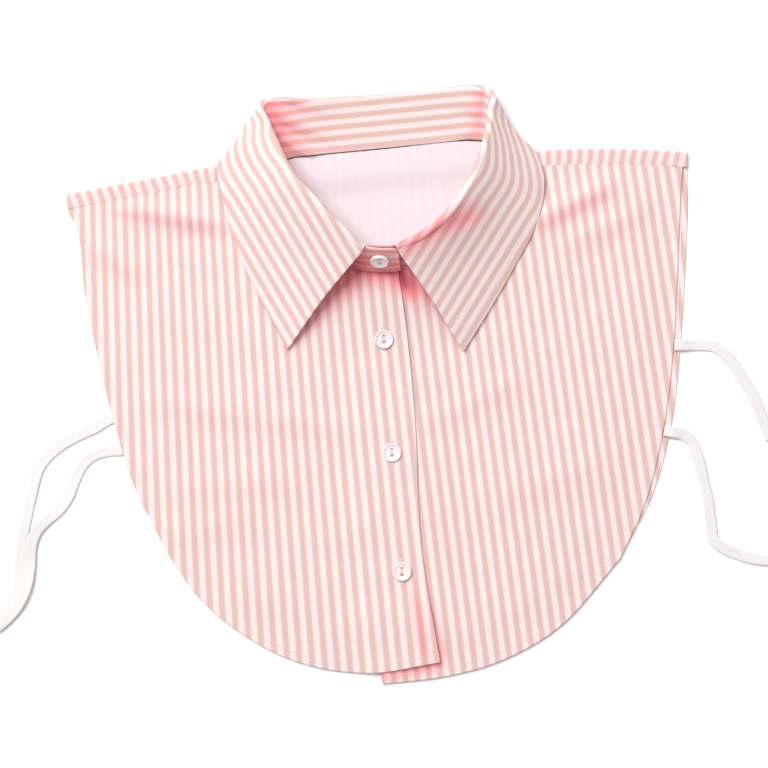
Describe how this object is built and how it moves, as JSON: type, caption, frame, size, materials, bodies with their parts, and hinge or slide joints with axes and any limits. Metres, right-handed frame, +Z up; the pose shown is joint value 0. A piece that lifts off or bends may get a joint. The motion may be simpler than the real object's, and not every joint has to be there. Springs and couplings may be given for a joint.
{
  "type": "dickey shirt collar",
  "caption": "Striped half-shirt dickey with pointed shirt collar, buttoned front, round hem and side tapes, lying flat.",
  "frame": {"origin": "on the surface the dickey lies on, under the middle of the garment without its tapes", "axes": "+X to the right seen from above, +Y towards the collar, +Z up from the surface; the garment is turned 5 degrees anticlockwise"},
  "size_m": [0.4703, 0.3583, 0.0355],
  "materials": {
    "striped_cotton": "matt yarn-dyed cotton shirting, pink and white stripes 6.7 mm apart, paler wrong side",
    "shirt_button": "pearly white polyester, two thread holes",
    "cotton_tape": "matt white woven cotton tape"
  },
  "bodies": {
    "root": {"back_panel": "striped_cotton", "front_under": "striped_cotton", "front_over": "striped_cotton", "collar_stand": "striped_cotton", "collar_leaf": "striped_cotton", "button_1": "shirt_button", "button_2": "shirt_button", "button_3": "shirt_button", "button_neck": "shirt_button", "tie_left_front": "cotton_tape", "tie_left_back": "cotton_tape", "tie_right_front": "cotton_tape", "tie_right_back": "cotton_tape"}
  },
  "joints": []
}
